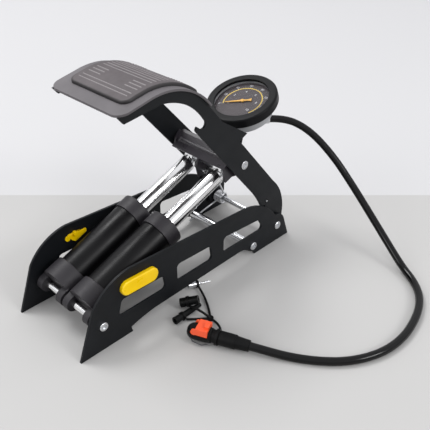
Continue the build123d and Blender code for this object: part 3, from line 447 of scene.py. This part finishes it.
CREST = (112.2, 153.9)       # (x, z) of the crest's centre
PLATE_R = 71.0
PEDAL_SLOPE = radians(11.5)
PAD_HALF = 39.0
PAD_THICK = 3.4
PAD_UNDER = 0.05             # how high the pad's underside is above the plate
PAD_LIP = 0.06               # how high its upper side is at the outline
PAD_FRONT = -19.0            # along the plate from where its crest begins
PAD_REAR = 71.0
PAD_CORNER = 9.0
EDGE_ROUND = 1.8             # radius of the pad's upper edge
RIM_SHADE_REACH = 2.8              # painted shade on the pad's rim reaches in this far
RIB_HEIGHT = 0.5
RIB_HALF = 0.75              # half of a rib's width
FRONT_RIBS = (9.0, 13.5)     # ribs right across, from the pad's front end
SHORT_RIBS = (20.0, 24.5, 29.0)
BACK_RIBS = (35.5, 40.0, 44.5, 49.0, 53.5, 58.0)
RIB_END = 33.0               # how far the ribs reach from the pad's middle
SHORT_START = 16.0           # how far from the middle the short ribs and the dots begin
DOT_ROWS = (63.0, 67.0, 71.0)
DOT_STEP = 3.2
DOT_R = 1.0
STEP_ALONG = 0.45            # mean size of the mesh's steps along the pad
STEPS_ACROSS = 160
CROWD_ALONG = 0.35           # how strongly the steps crowd at the ends, 0 is not at all
CROWD_ACROSS = 0.25          # the same for the pad's sides


def on_plate(along, across, height):
    """A point above the pedal plate: straight in front of the crest's beginning, round behind it."""
    radius = PLATE_R + height
    slope = PEDAL_SLOPE - max(0.0, along) / PLATE_R
    x = CREST[0] - radius * sin(slope) + min(0.0, along) * cos(PEDAL_SLOPE)
    z = CREST[1] + radius * cos(slope) + min(0.0, along) * sin(PEDAL_SLOPE)
    return at(x, across, z)


def pad_half_width(along):
    """Half of the pad's width, less towards its rounded corners."""
    into = PAD_CORNER - min(along - PAD_FRONT, PAD_REAR - along)
    if into <= 0:
        return PAD_HALF
    return PAD_HALF - PAD_CORNER + sqrt(max(0.0, PAD_CORNER ** 2 - into ** 2))


def edge_distance(along, across):
    """How far a point is inside the pad's outline."""
    middle = (PAD_FRONT + PAD_REAR) / 2
    half = (PAD_REAR - PAD_FRONT) / 2
    dx = abs(along - middle) - (half - PAD_CORNER)
    dy = abs(across) - (PAD_HALF - PAD_CORNER)
    return PAD_CORNER - hypot(max(dx, 0.0), max(dy, 0.0)) - min(max(dx, dy), 0.0)


def ridge(distance, half_width):
    """A rounded ridge profile, 1 on its line and 0 from its half width on."""
    t = abs(distance) / half_width
    return (1.0 - t * t) ** 2 if t < 1 else 0.0


def rib_level(along, across):
    """How much of a rib or a dot is at a point, from 0 to 1."""
    row = along - PAD_FRONT
    reach = abs(across)
    end = max(0.0, min(1.0, (RIB_END - reach) / RIB_HALF))
    level = max(ridge(row - r, RIB_HALF) for r in FRONT_RIBS + BACK_RIBS) * end
    short_start = max(0.0, min(1.0, (reach - SHORT_START) / RIB_HALF))
    level = max(level, max(ridge(row - r, RIB_HALF) for r in SHORT_RIBS) * end * short_start)
    if SHORT_START < reach < RIB_END:
        offset = (reach - SHORT_START) % DOT_STEP - DOT_STEP / 2
        level = max(level, max(ridge(hypot(row - r, offset), DOT_R) for r in DOT_ROWS))
    return level


def pad_height(along, across):
    """Height of the pad's upper side: flat, with a rounded edge and the ribs and dots on it."""
    inside = min(1.0, max(0.0, edge_distance(along, across)) / EDGE_ROUND)
    crown = sqrt(1.0 - (1.0 - inside) ** 2)
    return PAD_LIP + (PAD_THICK - RIB_HEIGHT - PAD_LIP) * crown + RIB_HEIGHT * rib_level(along, across)


def make_pad():
    """The pad, whose underside follows the plate; two attributes mark its ribs, which get painted highlight,
    and its edge, which gets painted shade.
    """
    span = PAD_REAR - PAD_FRONT
    rows = int(span / STEP_ALONG)
    top, rib_highlight_levels, edges, faces = [], [], [], []
    for i in range(rows + 1):
        even = PAD_FRONT + span * i / rows
        crowded = (PAD_FRONT + PAD_REAR) / 2 - span / 2 * cos(pi * i / rows)
        along = CROWD_ALONG * crowded + (1.0 - CROWD_ALONG) * even
        width = pad_half_width(along)
        for j in range(STEPS_ACROSS + 1):
            t = 2.0 * j / STEPS_ACROSS - 1.0
            across = width * ((1.0 - CROWD_ACROSS) * t + CROWD_ACROSS * sin(t * pi / 2))
            top.append(on_plate(along, across, pad_height(along, across)))
            # The rib level also sets how much painted highlight a point gets.
            rib_highlight_levels.append(rib_level(along, across))
            # Painted shade on the rim, fading inwards from the outline.
            edges.append(max(0.0, 1.0 - edge_distance(along, across) / RIM_SHADE_REACH))
    under = len(top)
    bottom = []
    for i in range(rows + 1):
        along = PAD_FRONT + span * i / rows
        bottom.append(on_plate(along, -pad_half_width(along), PAD_UNDER))
        bottom.append(on_plate(along, pad_half_width(along), PAD_UNDER))
    wide = STEPS_ACROSS + 1
    for i in range(rows):
        for j in range(STEPS_ACROSS):
            a = i * wide + j
            faces.append((a, a + wide, a + wide + 1, a + 1))
        b = under + 2 * i
        faces.append((b, b + 1, b + 3, b + 2))
    mesh = mesh_of("pad_top", top + bottom, faces)
    # The pad's side strip gets no painted highlight and full painted shade.
    for name, values, under_value in (("rib", rib_highlight_levels, 0.0), ("edge", edges, 1.0)):
        attribute = mesh.attributes.new(name, "FLOAT", "POINT")
        attribute.data.foreach_set("value", values + [under_value] * len(bottom))
    pad = new_piece("pad_top", mesh, "pad_rubber")
    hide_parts("pedal_pad")
    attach(pad, "lever")


make_pad()


# ------------------------------------------------------------------ dial print

GAUGE = (263.0, 156.0)       # (x, z) of the dial's middle
GAUGE_TILT = radians(20.0)
PRINT_HEIGHT = 0.05          # above the dial plate
SWEEP_START = radians(212.0)
SWEEP = radians(244.0)
ARC_R = 21.2
ARC_HALF = 0.45
ARC_STEPS = 72
TICK_GAPS = 35
LONG_TICK_EVERY = 5
LONG_TICK = 1.8
SHORT_TICK = 1.0
TICK_HALF = 0.14             # half of a tick's width
OUTER_NUMBERS_R = 25.4
INNER_NUMBERS_R = 15.6
NUMBER_SIZE = 3.9
NUMBER_WEIGHT = 0.05         # how much the numbers' strokes are thickened


def on_dial(across, up):
    """A point of the print on the dial as its reader sees it: across to the right, and up."""
    x = GAUGE[0] + up * cos(GAUGE_TILT) - PRINT_HEIGHT * sin(GAUGE_TILT)
    z = GAUGE[1] + up * sin(GAUGE_TILT) + PRINT_HEIGHT * cos(GAUGE_TILT)
    return at(x, -across, z)


def dial_angle(share):
    """Direction of a reading, counted from the reader's right."""
    return SWEEP_START - SWEEP * share


def print_piece(name, points, faces, material):
    piece = new_piece(name, mesh_of(name, points, faces), material)
    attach(piece, "lever")


def make_arc():
    points = []
    for i in range(ARC_STEPS + 1):
        angle = dial_angle(i / ARC_STEPS)
        for radius in (ARC_R - ARC_HALF, ARC_R + ARC_HALF):
            points.append(on_dial(radius * cos(angle), radius * sin(angle)))
    faces = [(2 * i, 2 * i + 1, 2 * i + 3, 2 * i + 2) for i in range(ARC_STEPS)]
    print_piece("dial_arc", points, faces, "print_yellow")


def make_ticks():
    points, faces = [], []
    for i in range(TICK_GAPS + 1):
        angle = dial_angle(i / TICK_GAPS)
        length = LONG_TICK if i % LONG_TICK_EVERY == 0 else SHORT_TICK
        for radius in (ARC_R + ARC_HALF, ARC_R + ARC_HALF + length):
            for side in (-TICK_HALF, TICK_HALF):
                across = radius * cos(angle) - side * sin(angle)
                up = radius * sin(angle) + side * cos(angle)
                points.append(on_dial(across, up))
        first = 4 * i
        faces.append((first, first + 1, first + 3, first + 2))
    print_piece("dial_ticks", points, faces, "print_white")


def make_numbers(name, values, radius):
    """A row of upright numbers round the dial."""
    points, faces = [], []
    for i, value in enumerate(values):
        text = bpy.data.curves.new("number", "FONT")
        text.body = str(value)
        text.size = NUMBER_SIZE
        text.align_x = "CENTER"
        text.align_y = "CENTER"
        text.offset = NUMBER_WEIGHT
        flat = curve_mesh(text)
        angle = dial_angle(i / (len(values) - 1))
        first = len(points)
        for vertex in flat.vertices:
            points.append(on_dial(radius * cos(angle) + vertex.co.x, radius * sin(angle) + vertex.co.y))
        for polygon in flat.polygons:
            faces.append(tuple(first + v for v in polygon.vertices))
    print_piece(name, points, faces, "print_white")


make_arc()
make_ticks()
make_numbers("dial_outer_numbers", range(0, 141, 20), OUTER_NUMBERS_R)
make_numbers("dial_inner_numbers", range(0, 11, 2), INNER_NUMBERS_R)


# ------------------------------------------------------------------ room

FLOOR_SIZE = 6.0
FLOOR_LINE = 0.715           # from the camera's place over the floor to where the floor turns paler
FLOOR_GREY = (0.475, 0.47, 0.462)
FLOOR_PALE = (0.56, 0.558, 0.565)
FLOOR_BLEND = 0.001          # half of the width over which it turns paler


def make_room():
    """A pale grey floor, paler beyond a straight line, where the photo's backdrop begins."""
    half = FLOOR_SIZE / 2
    line = VIEW_X * CAMERA_PLACE[0] + VIEW_Y * CAMERA_PLACE[1] + FLOOR_LINE
    corners = [(-half, -half, 0), (half, -half, 0), (half, half, 0), (-half, half, 0)]
    mesh = mesh_of("floor", corners, [(0, 1, 2, 3)])
    floor = bpy.data.objects.new("floor", mesh)
    bpy.context.collection.objects.link(floor)
    made = Shader("floor_card", FLOOR_GREY, 0.7, Specular_IOR_Level=0.2)
    split = made.node("ShaderNodeVectorMath", operation="DOT_PRODUCT")
    split.inputs[1].default_value = (VIEW_X, VIEW_Y, 0.0)
    made.link(made.coords.outputs["Object"], split.inputs[0])
    behind = made.ramp(split.outputs["Value"], 0.0, 1.0, line - FLOOR_BLEND, line + FLOOR_BLEND)
    made.paint(made.mix(behind, FLOOR_GREY, FLOOR_PALE))
    made.rough(made.noise(3.0, 2.0), 0.62, 0.75)
    mesh.materials.append(made.material)


def area_light(name, place, target, size, power):
    """A rectangular lamp that faces the target; power in watts."""
    data = bpy.data.lights.new(name, "AREA")
    data.shape = "RECTANGLE"
    data.size, data.size_y = size
    data.energy = power
    lamp = bpy.data.objects.new(name, data)
    bpy.context.collection.objects.link(lamp)
    lamp.location = place
    lamp.rotation_mode = "QUATERNION"
    lamp.rotation_quaternion = (Vector(target) - Vector(place)).to_track_quat("-Z", "Y")


# Each step: place from straight down (0) to straight up (1), and brightness
SKY = ((0.0, 0.35), (0.48, 0.35), (0.56, 0.5), (0.68, 0.95), (1.0, 0.9))


def make_sky():
    """A soft studio surround: darker near the floor, bright above."""
    world = bpy.data.worlds.new("studio")
    bpy.context.scene.world = world
    world.use_nodes = True
    tree = world.node_tree
    background = tree.nodes["Background"]
    coords = tree.nodes.new("ShaderNodeTexCoord")
    split = tree.nodes.new("ShaderNodeSeparateXYZ")
    shift = tree.nodes.new("ShaderNodeMapRange")
    shift.inputs["From Min"].default_value = -1.0
    ramp = tree.nodes.new("ShaderNodeValToRGB")
    tree.links.new(coords.outputs["Generated"], split.inputs[0])
    tree.links.new(split.outputs["Z"], shift.inputs["Value"])
    tree.links.new(shift.outputs["Result"], ramp.inputs["Fac"])
    tree.links.new(ramp.outputs["Color"], background.inputs["Color"])
    steps = ramp.color_ramp.elements
    while len(steps) < len(SKY):
        steps.new(0.5)
    for step, (place, level) in zip(steps, SKY):
        step.position = place
        step.color = (0.97 * level, 0.975 * level, level, 1.0)
    background.inputs["Strength"].default_value = 1.0


make_room()
make_sky()
area_light("top_light", (-0.1, 1.5, 2.8), (0, 0, 0.05), (1.3, 0.9), 44.0)
area_light("left_light", (-2.4, 0.6, 1.6), (0, 0, 0.1), (1.4, 1.2), 16.0)
area_light("front_light", (0.5, -2.8, 1.9), (0, 0, 0.05), (1.2, 0.8), 34.0)
bpy.context.scene.view_settings.view_transform = "Standard"
